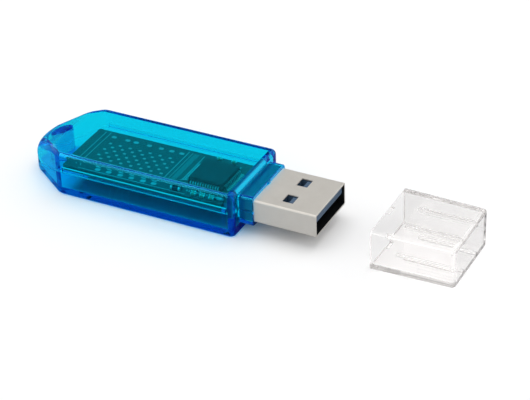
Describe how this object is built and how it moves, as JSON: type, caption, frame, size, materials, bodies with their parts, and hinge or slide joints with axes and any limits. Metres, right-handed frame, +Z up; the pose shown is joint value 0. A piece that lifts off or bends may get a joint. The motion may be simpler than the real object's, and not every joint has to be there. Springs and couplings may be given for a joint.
{
  "type": "usb stick programmer",
  "caption": "USB stick in a translucent two-part case, with a bare USB-A plug, a circuit board inside and a loose clear cap.",
  "frame": {"origin": "centre of the flat underside of the case's straight length, level with the table", "axes": "+X along the stick towards the plug, +Z up, +Y across"},
  "size_m": [0.0859, 0.0178, 0.0087],
  "materials": {
    "blue_case": "translucent polished blue moulding",
    "clear_cap": "clear polished moulding",
    "plug_metal": "satin nickel-plated sheet",
    "tongue_plastic": "matt slate blue",
    "contact_gold": "gold-plated spring sheet",
    "board": "green solder mask",
    "chip_black": "matt black moulding",
    "ceramic": "matt tan ceramic",
    "resistor_black": "matt black",
    "crystal_can": "satin metal lid",
    "light_lens": "milky lens"
  },
  "bodies": {
    "stick": {"upper_shell": "blue_case", "lower_shell": "blue_case", "plug_shell": "plug_metal", "plug_tongue": "tongue_plastic", "plug_back": "tongue_plastic", "usb2_contact_1": "contact_gold", "usb2_contact_2": "contact_gold", "usb2_contact_3": "contact_gold", "usb2_contact_4": "contact_gold", "superspeed_contact_1": "contact_gold", "superspeed_contact_2": "contact_gold", "superspeed_contact_3": "contact_gold", "superspeed_contact_4": "contact_gold", "superspeed_contact_5": "contact_gold", "circuit_board": "board", "controller_chip": "chip_black", "memory_chip": "chip_black", "voltage_regulator": "chip_black", "capacitor_1": "ceramic", "capacitor_2": "ceramic", "capacitor_3": "ceramic", "capacitor_4": "ceramic", "capacitor_5": "ceramic", "crystal_capacitor_1": "ceramic", "crystal_capacitor_2": "ceramic", "diode": "resistor_black", "data_resistor_1": "resistor_black", "data_resistor_2": "resistor_black", "pull_up_resistor": "resistor_black", "crystal": "crystal_can", "status_light": "light_lens"},
    "cap": {"cap": "clear_cap"}
  },
  "joints": [
    {"name": "cap_pull", "type": "slide", "parent": "stick", "child": "cap", "axis": [0.9996, 0, -0.0278], "range_m": [-0.02521, 0.003]}
  ]
}
